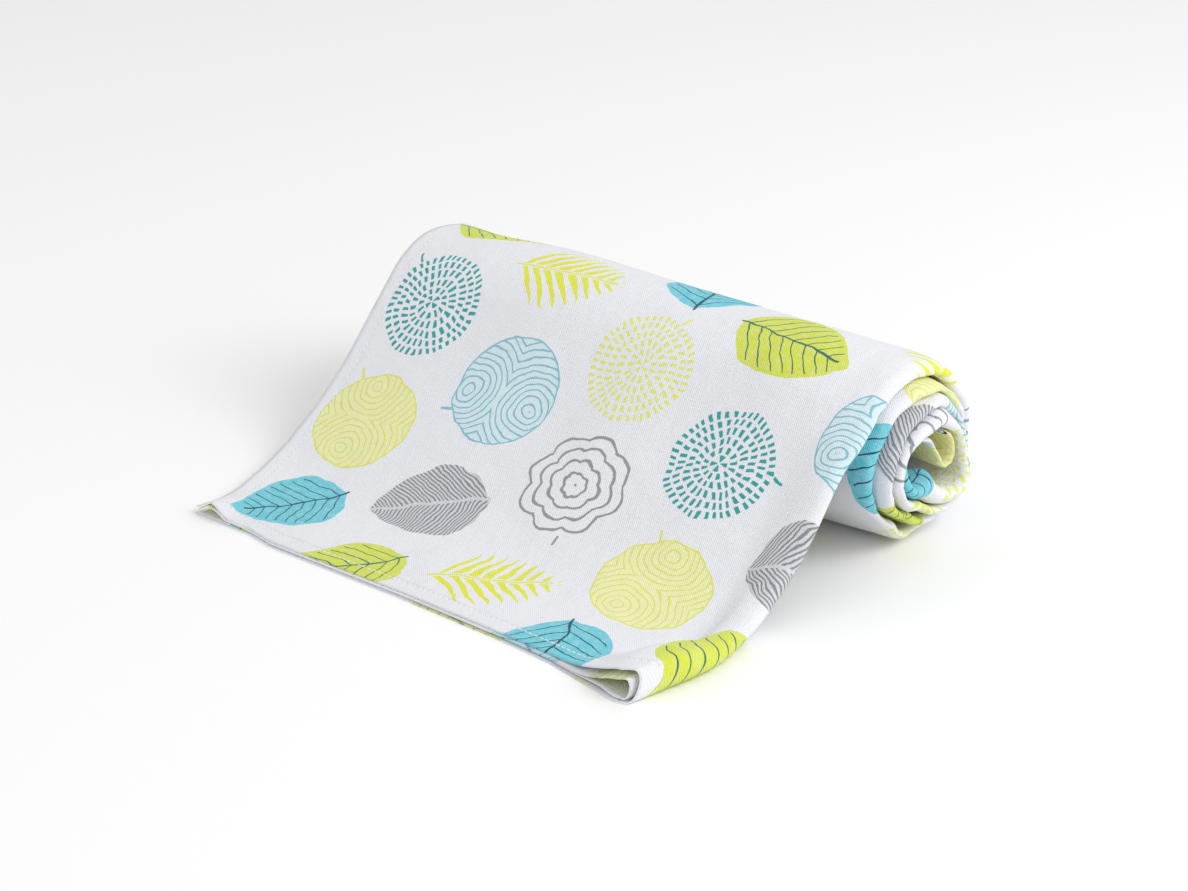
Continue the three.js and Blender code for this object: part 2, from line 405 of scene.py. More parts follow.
    # (across, how far the underside of the roll hangs free of the surface)
    end_lift: Table = ((0.100, 0.0), (0.120, 0.0010), (0.135, 0.0026), (0.150, 0.0034))
    end_lift_turns: Span = (0.25, 0.4)
    end_lift_fades_at: Span = (0.0, 0.050)

    # The puff of the right-hand fold in the roll, outward and inward
    puff: float = 0.0013
    puff_ripple: Ripple = Ripple(0.0004, 0.035, 11)
    puffs_out_turns: Span = (0.35, 0.9)
    puffs_in_turns: Span = (0.05, 0.3)
    settles_before_end: float = 0.05
    # (turn, how high the innermost fold gapes into the hollow)
    core_gape: Table = ((3.68, 0.0110), (3.16, 0.0038))
    core_gape_reach: float = 0.12
    core_gape_across: Span = (0.126, 0.146)

    # The shallow valley before the right-hand fold, and the arch at the front left corner
    valley_depth: float = 0.0014
    valley_before_fold: float = 0.004
    valley_half_width: float = 0.006
    valley_at: float = 0.036
    valley_half_length: float = 0.022
    arch_height: float = 0.0062
    arch_at_across: float = -0.130
    arch_half_width: float = 0.0078
    arch_half_length: float = 0.020

    # Creases of the two edges on the roll
    creased_turns: Span = (0.3, 0.8)
    left_ripple: Ripple = Ripple(0.0013, 0.07, 21)
    long_crease: Ripple = Ripple(0.0007, 0.045, 2)
    short_crease: Ripple = Ripple(0.0004, 0.016, 4)

    # Lumps: (waves round the roll, size of each)
    lump_waves: Table = ((2, 1.0), (3, 1.0), (5, 0.7), (7, 0.6), (11, 0.45), (16, 0.3))
    lump_seed: int = 5
    lump_height: float = 0.0004
    lumpier_ends: float = 1.2
    lump_twist: float = 40.0
    lump_waves_across: Span = (20.0, 45.0)
    lumpy_ends_across: Span = (0.085, 0.150)
    lumpy_turns: Span = (0.0, 0.25)
    lumpy_above: Span = (0.002, 0.016)
    # (angle round the roll from its top towards the back, reach, how far the right-hand end stands out there)
    dents: Table = ((148.0, 27.0, 0.0062), (216.0, 34.0, -0.0065))
    dents_across: Span = (0.070, 0.150)

    # The ripple of the slope, the trough beside its right-hand edge, and the loose upper layers of the tail
    slope_ripple: Ripple = Ripple(0.0009, 0.085, 3)
    slope_along: tuple[Span, Span] = ((0.050, 0.100), (0.17, 0.25))
    trough_depth: float = 0.0015
    trough_at_across: float = 0.131
    trough_half_width: float = 0.010
    trough_along: tuple[Span, Span] = ((0.09, 0.14), (0.22, 0.27))
    tail_lift: float = 0.0012
    tail_ripple: Ripple = Ripple(1.0, 0.08, 8)
    tail_along: tuple[Span, Span] = ((0.0, 0.03), (0.05, 0.11))
    tail_ends_across: Span = (0.07, 0.11)

    # Each row's distance along the strip and turn, its place on the path, and where the roll starts
    s: np.ndarray = field(init=False)
    turn: np.ndarray = field(init=False)
    place: np.ndarray = field(init=False)
    outward: np.ndarray = field(init=False)
    roll_starts: float = field(init=False)

    def __post_init__(self) -> None:
        """Sets out the rows along the path, close together at the front edge, where its layers show."""
        line = self.path.line()
        stations = spaced(*self.row_stations)
        s = stations / stations[-1] * min(self.path.cloth_length, line["s"][-1])
        place, outward = (
            np.stack([np.interp(s, line["s"], line[name][:, k]) for k in range(2)], -1)
            for name in ("place", "outward")
        )
        first_turned = 1e-6
        self.s = s[:, None]
        self.turn = np.interp(s, line["s"], line["turn"])[:, None]
        self.place = place
        self.outward = outward / np.linalg.norm(outward, axis=1)[:, None]
        self.roll_starts = float(np.interp(first_turned, line["turn"], line["s"]))

    def columns(self) -> dict[str, np.ndarray]:
        """Shares of the way along each stretch of the cloth across the strip.

        Returns:
            Numbers from 0 to 1 for the top layer, the hidden layers, the outer fold and the inner folds.
        """
        return {
            "top": spaced(*self.top_stations) / self.width,
            "outer": np.linspace(0, 1, self.outer_fold_columns),
            "hidden": spaced(*self.hidden_stations) / self.width,
            "inner": np.linspace(0, 1, self.inner_fold_columns),
        }

    def surface(self) -> Grids:
        """The middle of the cloth's own thickness, as a grid of rows along the strip by columns across.

        Each place is its row's place on the path, plus its height in the section along the path's outward
        direction. The strip slips sideways along its length by skew. Near the front edge it runs forward as
        front_line says, less what its layer stops short by. The roll's height is changed as roll_height
        says, and its underside hangs free as end_lift says.

        Returns:
            The grid's (x, y, z) places, and each place's distance along and across the unfolded cloth.
        """
        across, height, layer = self.section()
        height = height + self.unevenness(across, layer)
        front = np.clip(1 - self.s / (self.path.floor_end - self.path.front_edge), 0, 1)
        forward = read(self.front_line, across) - self.between_layers(self.short_of_front, across, layer)
        x = across + self.skew * (self.s - self.roll_starts)
        y = self.place[:, :1] + self.outward[:, :1] * height - forward * front
        z = self.place[:, 1:] + self.outward[:, 1:] * height
        higher = read(self.roll_height, across) - 1
        z = z * (1 + higher * smoothstep(self.s, *self.roll_height_along))
        hanging = read(self.end_lift, across) * smoothstep(self.turn, *self.end_lift_turns)
        z = z + hanging * (1 - smoothstep(z, *self.end_lift_fades_at))
        return np.stack([x, y, z], -1), np.broadcast_to(self.s, x.shape), self.flat_across(x.shape)

    def between_layers(self, table: Table, across: np.ndarray, layer: np.ndarray) -> np.ndarray:
        """Reads a table that has one number for each layer, also part way between two layers.

        Args:
            table: Rows of a place across, and a number for each layer.
            across: Places across the strip.
            layer: Layer number of each place, which isn't whole in a fold.

        Returns:
            The numbers, in the shape of layer.
        """
        weights = [np.clip(1 - abs(layer - k), 0, 1) for k in Layer]
        return sum(weight * read(table, across, k + 1) for k, weight in zip(Layer, weights))

    def unevenness(self, across: np.ndarray, layer: np.ndarray) -> np.ndarray:
        """How far each place stands off the even shape, along the path's outward direction."""
        return self.roll_lumps(across) + self.slope_forms(across) + self.tail_forms(across, layer)

    def roll_lumps(self, across: np.ndarray) -> np.ndarray:
        """The lumps and dents of the roll.

        They depend on the angle round the roll and on across, so that its turns keep their distance, except
        that all of it fades out towards the surface. The lumps are a sum of sine waves round the roll, each
        times a sine wave across, and about twice as high at the ends. At the right-hand end the lower back
        sags, and the lower front is pushed in, each by a bell of the angle.

        Args:
            across: Places across the strip.

        Returns:
            The distances, rows by columns.
        """
        angle = 2 * np.pi * self.turn + math.radians(self.path.leaves_roll_at)
        draw = np.random.default_rng(self.lump_seed)
        lumps = np.zeros(np.broadcast_shapes(angle.shape, across.shape))
        for waves, size in self.lump_waves:
            phase, twist = draw.uniform((0, -self.lump_twist), (2 * np.pi, self.lump_twist))
            round_roll = np.sin(waves * angle + phase + twist * across)
            lumps = lumps + size * round_roll * np.sin(across * draw.uniform(*self.lump_waves_across) + phase)
        at_end = smoothstep(abs(across), *self.lumpy_ends_across)
        pushed = sum(
            size * hump((np.degrees(angle) - (middle - 180)) % 360, 180.0, reach)
            for middle, reach, size in self.dents
        )
        pushed = pushed * smoothstep(across, *self.dents_across)
        rolled = smoothstep(self.turn, *self.lumpy_turns) * smoothstep(self.place[:, 1:], *self.lumpy_above)
        return rolled * (self.lump_height * (1 + self.lumpier_ends * at_end) * lumps + pushed)

    def slope_forms(self, across: np.ndarray) -> np.ndarray:
        """The slope's long ripple, its uneven right-hand edge, and the trough beside that edge.

        Args:
            across: Places across the strip.

        Returns:
            The distances, rows by columns.
        """
        waves = stretch(self.s, *self.slope_along) * self.slope_ripple.at(self.s, across)
        edge = read(self.slope_edge, self.s) * smoothstep(across, *self.slope_edge_across)
        trough = self.trough_depth * hump(across, self.trough_at_across, self.trough_half_width)
        return waves + edge - trough * stretch(self.s, *self.trough_along)

    def tail_forms(self, across: np.ndarray, layer: np.ndarray) -> np.ndarray:
        """The loose lie of the tail's upper layers, less for each one down and none for the lowest.

        Args:
            across: Places across the strip.
            layer: Layer number of each place.

        Returns:
            The distances, rows by columns.
        """
        upper = np.clip(1 - layer / Layer.LOWEST, 0, 1) * stretch(self.s, *self.tail_along)
        loose = self.tail_lift * (1 + self.tail_ripple.at(self.s, across))
        return loose * upper * (1 - smoothstep(across, *self.tail_ends_across))

    def flat_across(self, shape: tuple[int, int]) -> np.ndarray:
        """Distance of each column across the unfolded cloth, from one hem to the other.

        The stretches of the section are laid end to end, and the whole is brought to the cloth's width.

        Args:
            shape: Rows and columns of the grid.

        Returns:
            The distances, in that shape.
        """
        parts = self.columns()
        lengths = {"outer": self.outer_fold_length, "inner": self.inner_fold_length}
        total, distance = 0.0, []
        for name in ("top", "outer", "hidden", "inner", "hidden", "inner", "hidden"):
            length = lengths.get(name, self.width - self.fold_reach)
            share = parts[name] if not distance else parts[name][1:]
            distance.append(total + share * length)
            total += length
        return np.broadcast_to(np.concatenate(distance) / total * self.path.cloth_length, shape)

    def openings(self) -> tuple[np.ndarray, np.ndarray]:
        """How far the right-hand fold stands open at each row.

        On the tail and the slope it is what open_fold says. On the roll it is a rippled puff, which settles
        at the inner end.

        Returns:
            The distances outward and inward.
        """
        free = read(self.open_fold, self.s)
        puff = self.puff + self.puff_ripple.at(self.s)
        rolled = smoothstep(self.turn, *self.puffs_out_turns)
        settle = 1 - smoothstep(self.turn, self.path.turns - self.settles_before_end, self.path.turns)
        outward = free * (1 - rolled) + puff * rolled * settle
        inward = puff * smoothstep(self.turn, *self.puffs_in_turns) * settle
        return outward, inward

    def core_opening(self, across: np.ndarray) -> np.ndarray:
        """How high the fold of the innermost turn gapes into the hollow, steeply towards its end.

        Args:
            across: Places across the strip.

        Returns:
            The heights: bells of the turn, as core_gape says.
        """
        reach = self.core_gape_reach
        gape = sum(height * hump(self.turn, middle, reach) for middle, height in self.core_gape)
        return gape * smoothstep(across, *self.core_gape_across)

    def height_of(self, layer: Layer, across: np.ndarray) -> np.ndarray:
        """Height of one layer above the middle of the strip.

        It is the layer's own level, plus its share of the opening of the right-hand fold, which eases in
        as open_fold says, with a shallow valley just before it, plus its share of the arch at the front
        left corner, which is a bell across and along the strip. Right at the front edge, each layer's
        share of the opening comes from mouth.

        Args:
            layer: Which layer it is.
            across: Places across the strip.

        Returns:
            The heights, rows by places.
        """
        level = ((len(Layer) - 1) / 2 - layer) * self.layer_pitch
        outward, inward = self.openings()
        start, width = (read(self.open_fold, self.s, column) for column in (2, 3))
        opened = smoothstep(across, start, start + width)
        eased = smoothstep(across, start[-1], start[-1] + width[-1])
        at_mouth = hump(self.s, 0.0, self.mouth_reach)
        share = at_mouth * read(self.mouth, across, layer + 1)
        share = share + (1 - at_mouth) * self.fold_share[layer] * opened
        valley = self.valley_depth * hump(across, start - self.valley_before_fold, self.valley_half_width)
        valley = valley * hump(self.s, self.valley_at, self.valley_half_length)
        arch = self.arch_height * hump(across, self.arch_at_across, self.arch_half_width)
        arch = arch * hump(self.s, 0.0, self.arch_half_length)
        upper = arch * self.arch_share[layer] + outward * share - valley * self.fold_share[layer]
        lower = (inward * eased + self.core_opening(across)) * self.fold_share[Layer.LOWEST - layer]
        return level + upper - lower

    def section(self) -> Grids:
        """The folded line of the cloth across the strip, at every row.

        Flat stretches follow height_of. A fold is half an ellipse from one layer's height to the next one's.

        Returns:
            Place across, height above the middle of the strip, and layer number, as grids.
        """
        parts = self.columns()
        outward, inward = self.openings()
        rolled = smoothstep(self.turn, *self.creased_turns)
        left = read(self.left_edge, self.s) - self.width / 2 + self.left_ripple.at(self.s) * rolled
        creased = (self.long_crease.at(self.s) + self.short_crease.at(self.s)) * rolled
        right = self.width / 2 + read(self.right_edge, self.turn) + read(self.bulge, self.s) + creased
        gape = np.maximum(outward, inward + self.core_opening(right))
        sharper = 1 - self.sharper_in_front * hump(self.s, 0.0, self.sharper_reach)
        reach = (self.fold_reach + self.reach_per_opening * gape) * sharper
        outer = right - reach
        inner = outer - self.inner_fold_inset
        left_fold = left + self.fold_reach
        left_reach, inner_reach = -self.left_fold_share * self.fold_reach, self.inner_fold_share * reach
        back = 1 - parts["hidden"][::-1]
        first, *others = [
            self.flat(Layer.TOP, left, outer, parts["top"]),
            self.fold(Layer.TOP, Layer.LOWEST, outer, reach, parts["outer"]),
            self.flat(Layer.LOWEST, outer, left_fold, back),
            self.fold(Layer.LOWEST, Layer.THIRD, left_fold, left_reach, parts["inner"]),
            self.flat(Layer.THIRD, left_fold, inner, parts["hidden"]),
            self.fold(Layer.THIRD, Layer.SECOND, inner, inner_reach, parts["inner"]),
            self.flat(Layer.SECOND, inner, left + self.hem_inset, back),
        ]
        return tuple(np.concatenate([first[k], *(one[k][:, 1:] for one in others)], axis=1) for k in range(3))

    def flat(self, layer: Layer, start: np.ndarray, end: np.ndarray, share: np.ndarray) -> Grids:
        """One flat stretch: across goes straight from start to end, and the height is the layer's own."""
        across = start + (end - start) * share
        return across, self.height_of(layer, across), np.full_like(across, float(layer))

    def fold(
        self, before: Layer, after: Layer, centre: np.ndarray, reach: np.ndarray | float, share: np.ndarray
    ) -> Grids:
        """One fold: half an ellipse round centre, from the layer before to the layer after it.

        Args:
            before: The layer that the cloth comes from.
            after: The layer that it goes to.
            centre: Where across the strip the fold starts and ends.
            reach: How far the fold stands out past centre, negative at the left.
            share: Shares of the way round.

        Returns:
            Place across, height and layer number, as grids.
        """
        turned = np.pi / 2 - np.pi * share
        top = self.height_of(before, centre)
        bottom = self.height_of(after, centre)
        across = centre + reach * np.cos(turned)
        height = (top + bottom) / 2 + (top - bottom) / 2 * np.sin(turned)
        layer = (before + after) / 2 + (before - after) / 2 * np.sin(turned)
        return across, height, np.broadcast_to(layer, across.shape)


# The mesh


@dataclass
class MuslinCloth:
    """The whole cloth as one closed mesh: both faces of the sheet and the narrow rim between them."""

    strip: FoldedStrip = field(default_factory=FoldedStrip)
    name: str = "folded_muslin"
    side: float = 1.2
    # where the strip's middle and the roll's centre lie in the box of the CAD node
    middle_from_left: float = 0.15233
    centre_from_back: float = 0.05245
    map_margin: float = 0.004

    def placed(self, grid: np.ndarray) -> np.ndarray:
        """Moves the grid from the roll's own centre to its place in the frame, from the CAD node's box."""
        low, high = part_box(CLOTH_NODE)
        return grid + np.array([low[0] + self.middle_from_left, high[1] - self.centre_from_back, 0.0])

    def normals(self, grid: np.ndarray) -> np.ndarray:
        """Direction of the printed face at each place: the cross product of the grid's two slopes.

        Args:
            grid: Places, rows by columns by (x, y, z).

        Returns:
            Unit vectors, in the same shape.
        """
        normal = np.cross(np.gradient(grid, axis=1), np.gradient(grid, axis=0))
        return normal / np.maximum(np.linalg.norm(normal, axis=2, keepdims=True), 1e-12)

    def build(self) -> bpy.types.Object:
        """Makes the mesh, with its maps and its attribute for the cloth's wrong side.

        Each face of the sheet lies half the cloth's thickness off the grid, along the grid's normals, and
        nothing goes below the surface that the cloth lies on.

        Returns:
            The cloth's object, at the origin.
        """
        grid, along, across = self.strip.surface()
        grid = self.placed(grid)
        half = self.strip.thickness / 2 * self.normals(grid)
        points = np.concatenate([face.reshape(-1, 3) for face in (grid + half, grid - half)])
        points[:, 2] = np.maximum(points[:, 2], 0.0)
        count = along.size
        index = np.arange(count).reshape(along.shape)
        front = self.quads(index)
        quads = np.concatenate([front, front[:, ::-1] + count, self.rim(index, count)])
        mesh = bpy.data.meshes.new(self.name)
        mesh.from_pydata(points, [], quads.tolist())
        flat = np.stack([np.tile(across.ravel(), 2), np.tile(along.ravel(), 2)], -1)
        reverse = np.repeat([0.0, 1.0], count)
        self.add_maps(mesh, flat, reverse, quads)
        mesh.attributes.new("wrong_side", "FLOAT", "POINT").data.foreach_set("value", reverse)
        mesh.polygons.foreach_set("use_smooth", np.ones(len(quads), bool))
        mesh.update()
        cloth = bpy.data.objects.new(self.name, mesh)
        bpy.context.scene.collection.objects.link(cloth)
        return cloth

    def quads(self, index: np.ndarray) -> np.ndarray:
        """Corners of the grid's faces, in the order that turns them to the printed side."""
        corners = index[:-1, :-1], index[:-1, 1:], index[1:, 1:], index[1:, :-1]
        return np.stack([corner.ravel() for corner in corners], -1)

    def rim(self, index: np.ndarray, count: int) -> np.ndarray:
        """Faces that join the two sides of the sheet all the way round its edge.

        Args:
            index: Number of each point of the printed side, rows by columns.
            count: How many points that side has.

        Returns:
            The faces' corners.
        """
        edge = np.concatenate([index[0, ::-1], index[1:, 0], index[-1, 1:], index[-2:0:-1, -1]])
        after = np.roll(edge, -1)
        return np.stack([edge, edge + count, after + count, after], -1)[:, ::-1]

    def add_maps(
        self, mesh: bpy.types.Mesh, flat: np.ndarray, reverse: np.ndarray, quads: np.ndarray
    ) -> None:
        """Adds the cloth's own map, in metres across and along, and one that lays its two sides out apart.

        Args:
            mesh: The cloth's mesh.
            flat: (across, along) of each point on the unfolded cloth.
            reverse: 1 for points of the wrong side.
            quads: The faces' corners.
        """
        corners = quads.ravel()
        share = flat / self.side
        across = self.map_margin + (1 - 2 * self.map_margin) * share[:, 0]
        along = self.map_margin + (0.5 - 2 * self.map_margin) * share[:, 1] + 0.5 * reverse
        for name, places in (("Cloth", flat), ("OFBake", np.stack([across, along], -1))):
            values = places[corners].astype(np.float32).ravel()
            mesh.uv_layers.new(name=name).data.foreach_set("uv", values)
        mesh.uv_layers["Cloth"].active_render = True


# The finishes


def linear(colour: str) -> tuple[float, float, float, float]:
    """Turns an sRGB hex colour linear.

    Args:
        colour: A number sign and six hex digits.

    Returns:
        Linear red, green and blue, and full alpha.
    """
    values = [int(colour[k : k + 2], 16) / 255 for k in (1, 3, 5)]
    parts = [v / 12.92 if v <= 0.04045 else ((v + 0.055) / 1.055) ** 2.4 for v in values]
    return (*parts, 1.0)


class Nodes:
    """The nodes of one material, added one by one."""

    def __init__(self, name: str) -> None:
        """Starts a material with its shader and output alone."""
        self.material = bpy.data.materials.new(name)
        self.material.use_nodes = True
        self.tree = self.material.node_tree
        self.shader = self.tree.nodes["Principled BSDF"]

    def add(self, kind: str, *inputs: object, out: int = 0, **settings: object) -> Socket:
        """Adds one node, with its settings and links.

        Args:
            kind: The node's type, without the ShaderNode that each type starts with.
            inputs: For each input that is in use, in order, a value, a socket to link, or None.
            out: Which output in use to give back.
            settings: The node's own properties.

        Returns:
            The output socket.
        """
        node = self.tree.nodes.new("ShaderNode" + kind)
        for name, setting in settings.items():
            setattr(node, name, setting)
        for socket, value in zip([s for s in node.inputs if s.enabled], inputs):
            if isinstance(value, Socket):
                self.tree.links.new(value, socket)
            elif value is not None:
                socket.default_value = value
        return [s for s in node.outputs if s.enabled][out]


class Motif(IntEnum):
    """The drawings of the print, in the order in which the cells of a column take them."""

    TURQUOISE_LEAF = 0
    YELLOW_SHELL = 1
    DANDELION = 2
    LIME_LEAF = 3
    GREY_LEAF = 4
    BLUE_SHELL = 5
    FERN = 6
    ROSETTE = 7
    YELLOW_DANDELION = 8


class Inks(NamedTuple):
    """The colour of a motif's ground, how strongly that is inked, and the colour of its lines."""

    ground: str
    strength: float
    lines: str


MOTIF_INKS = {
    Motif.TURQUOISE_LEAF: Inks("#5CCBDC", 1.0, "#173F5A"),
    Motif.YELLOW_SHELL: Inks("#F0F1A6", 0.9, "#E3E46A"),
    Motif.DANDELION: Inks("#FFFFFF", 0.0, "#009F9C"),
    Motif.LIME_LEAF: Inks("#D6E126", 1.0, "#126A6C"),
    Motif.GREY_LEAF: Inks("#C4C6CB", 0.7, "#85888F"),
    Motif.BLUE_SHELL: Inks("#D3EBF1", 0.9, "#7FBCCE"),
    Motif.FERN: Inks("#FFFFFF", 0.0, "#E6E92C"),
    Motif.ROSETTE: Inks("#FFFFFF", 0.0, "#92969D"),
    Motif.YELLOW_DANDELION: Inks("#FFFFFF", 0.0, "#E9EB74"),
}


@dataclass(frozen=True)
class PrintedMuslin:
    """Bleached cotton muslin in plain weave, screen printed on one side with leaves and flower heads.

    It gives the eye a soft, dull, faintly grained white, with flat inks that look a little uneven. The
    print is generic. Each cell of a half-drop grid holds one motif, turned its own way, and each motif is
    drawn from distances, read from the cloth's own map. The ink soaks through, so the wrong side shows it
    paler. Sizes are in millimetres, a half width is measured from the middle of a line, and a scale says
    how many cells of noise lie in a millimetre.
    """

    nodes: Nodes = field(default_factory=lambda: Nodes("printed cotton muslin"))
    ground: str = "#EDEEF3"
    sewing_thread: str = "#F4F5F7"
    side: float = 1200.0
    soak_through: float = 0.5

    # Weave. Real threads lie about 0.6 apart, and are drawn coarser because finer ones don't show.
    thread_pitch: float = 1.3
    weave_height: float = 0.35
    slub_scale: Span = (0.9, 0.05)
    crumple_scale: float = 0.045
    crumple_height: float = 6.0
    # How well the ink takes: everywhere, and more or less by the weave
    takes_evenly: float = 0.955
    takes_by_weave: float = 0.045
    relief_strength: float = 0.7
    relief_depth_in_metres: float = 0.0005

    # Hem, folded over about 9 wide and sewn near its inner edge
    seam_from_edge: float = 8.0
    seam_soft_edge: Span = (0.2, 0.55)
    stitch_length: float = 2.6
    stitch_pitch: float = 3.4
    hem_ends: Span = (8.8, 9.4)
    hem_height: float = 1.6
    thread_shows: float = 0.7

    # Cells of the print, how far a drawn line strays, and how blotchy a ground is
    cell: Span = (69.0, 71.0)
    shake_scale: float = 0.07
    shake: float = 5.0
    blotch_scale: float = 0.25
    blotch_edges: Span = (0.35, 0.6)
    palest_blotch: float = 0.82
    ink_edge: float = 0.35

    # Leaves
    leaf_half_length: float = 33.0
    leaf_half_width: float = 24.0
    leaf_fuller: float = 0.5
    leaf_narrower_tip: float = 0.25
    vein_pitch: float = 7.4
    vein_climb: float = 0.75
    vein_half_width: float = 0.42
    vein_off_edge: float = 2.4
    vein_off_tip: float = 6.0
    midrib_half_width: float = 0.6
    midrib_off_tip: float = 5.0
    midrib_past_foot: float = 1.2
    hatch_half_width: float = 0.55
    hatch_off_midrib: float = 0.9
    leaflet_half_width: float = 2.6
    leaflet_off_midrib: float = 1.3

    # Heads and their stem, the dandelion's dashes, the shell's arcs and the rosette's wavy rings
    head_radius: float = 29.4
    head_lift: float = 2.5
    stem_length: float = 4.0
    stem_half_width: float = 0.7
    stem_off_middle: float = 2.0
    stem_bend: float = 0.003
    ring_pitch: float = 4.9
    dashes_in_middle: float = 4.0
    more_in_next_ring: float = 8.0
    next_ring_shifts: float = 0.37
    dash_pitch: float = 3.675
    dash_half_width: float = 0.84
    dash_half_length: float = 1.75
    arc_pitch: float = 3.5
    arc_half_width: float = 0.42
    arc_centres: tuple[Point, Point] = ((-9.0, -20.0, 0.0), (14.0, 12.0, 0.0))
    shell_rim_half_width: float = 0.4
    petal_pitch: float = 6.2
    petal_rings: float = 4.5
    petal_half_width: float = 0.72
    petal_waves: float = 4.0
    petal_wave_share: float = 0.13

    def material(self) -> bpy.types.Material:
        """Makes the material: ground and inks, weave, slubs and the hem's stitches.

        A line is inked as strongly as the weave takes it, times how far it soaks through. A motif's ground
        is so too, and blotchy.

        Returns:
            The material.
        """
        add = self.nodes.add
        millimetres_in_metre = 1000.0
        place = add("VectorMath", add("UVMap", uv_map="Cloth"), millimetres_in_metre, operation="SCALE")
        takes, relief, thread = self.woven(place)
        x, y, kind, mottle = self.cell_place(place)
        ground_ink, line_ink, lines, fills = self.drawing(x, y, kind)
        wrong = add("Attribute", out=2, attribute_name="wrong_side")
        soak = add("MapRange", wrong, 0.0, 1.0, 1.0, self.soak_through)
        inked = add("Math", soak, takes, operation="MULTIPLY")
        blotched = add("Math", fills, mottle, operation="MULTIPLY")
        colour = linear(self.ground)
        for drawn, ink in ((blotched, ground_ink), (lines, line_ink)):
            share = add("Math", drawn, inked, operation="MULTIPLY", use_clamp=True)
            colour = add("Mix", share, colour, ink, data_type="RGBA")
        sewn = add("Math", thread, self.thread_shows, operation="MULTIPLY")
        colour = add("Mix", sewn, colour, linear(self.sewing_thread), data_type="RGBA")
        bump = add("Bump", self.relief_strength, self.relief_depth_in_metres, None, relief)
        shader = self.nodes.shader
        self.nodes.tree.links.new(colour, shader.inputs["Base Color"])
        self.nodes.tree.links.new(bump, shader.inputs["Normal"])
        # loose cotton fibres give a soft edge of light, and no gloss
        shader.inputs["Roughness"].default_value = 0.92
        shader.inputs["Specular IOR Level"].default_value = 0.2
        shader.inputs["Sheen Weight"].default_value = 0.12
        shader.inputs["Sheen Roughness"].default_value = 0.6
        return self.nodes.material

    def woven(self, place: Socket) -> tuple[Socket, Socket, Socket]:
        """The plain weave and its thicker threads, with the hem.

        The weave is the product of two sine waves. Slubs are noise drawn out along each thread, about 1 by
        20, and a coarse noise, about 22 across, stands for the faint crumpling of washed muslin.

        Args:
            place: Place on the cloth.

        Returns:
            How well the ink takes, the height for the bump, and where the sewing thread lies.
        """
        add = self.nodes.add
        sides = [add("SeparateXYZ", place, out=k) for k in range(2)]
        angles = [add("Math", side, 2 * math.pi / self.thread_pitch, operation="MULTIPLY") for side in sides]
        warp, weft = (add("Math", angle, operation="SINE") for angle in angles)
        weave = add("Math", warp, weft, operation="MULTIPLY")
        thin, long = self.slub_scale
        by_warp = add("VectorMath", place, (thin, long, 0.0), operation="MULTIPLY")
        by_weft = add("VectorMath", place, (long, thin, 0.0), operation="MULTIPLY")
        warp_slubs, weft_slubs = (add("TexNoise", drawn, 1.0, 2.0, 0.6) for drawn in (by_warp, by_weft))
        slubs = add("Math", warp_slubs, weft_slubs, operation="ADD")
        relief = add("Math", weave, self.weave_height, slubs, operation="MULTIPLY_ADD")
        crumple = add("TexNoise", place, self.crumple_scale, 3.0, 0.5, noise_dimensions="2D")
        relief = add("Math", crumple, self.crumple_height, relief, operation="MULTIPLY_ADD")
        takes = add("Math", weave, self.takes_by_weave, self.takes_evenly, operation="MULTIPLY_ADD")
        return takes, *self.hemmed(*sides, relief)

    def hemmed(self, u: Socket, v: Socket, relief: Socket) -> tuple[Socket, Socket]:
        """The hem, folded over and thicker, and its seam: a fine groove in which the stitches stand up.

        Args:
            u: Place across the cloth.
            v: Place along the cloth.
            relief: Height of the weave.

        Returns:
            The height with the hem's own, and where the sewing thread lies.
        """
        add = self.nodes.add
        far = [add("Math", self.side, side, operation="SUBTRACT") for side in (u, v)]
        nearer = [add("Math", near, other, operation="MINIMUM") for near, other in zip((u, v), far)]
        edge = add("Math", *nearer, operation="MINIMUM")
        off_seam = add("Math", edge, self.seam_from_edge, operation="SUBTRACT")
        off_seam = add("Math", off_seam, operation="ABSOLUTE")
        seam = add("MapRange", off_seam, *self.seam_soft_edge, 1.0, 0.0)
        run = add("Math", add("Math", u, v, operation="ADD"), self.stitch_pitch, operation="DIVIDE")
        part = add("Math", run, operation="FRACT")
        stitch = add("Math", part, self.stitch_length / self.stitch_pitch, operation="LESS_THAN")
        thread = add("Math", seam, stitch, operation="MULTIPLY")
        folded = add("MapRange", edge, *self.hem_ends, self.hem_height, 0.0)
        relief = add("Math", relief, folded, operation="ADD")
        relief = add("Math", seam, -self.hem_height, relief, operation="MULTIPLY_ADD")
        return add("Math", thread, self.hem_height, relief, operation="MULTIPLY_ADD"), thread

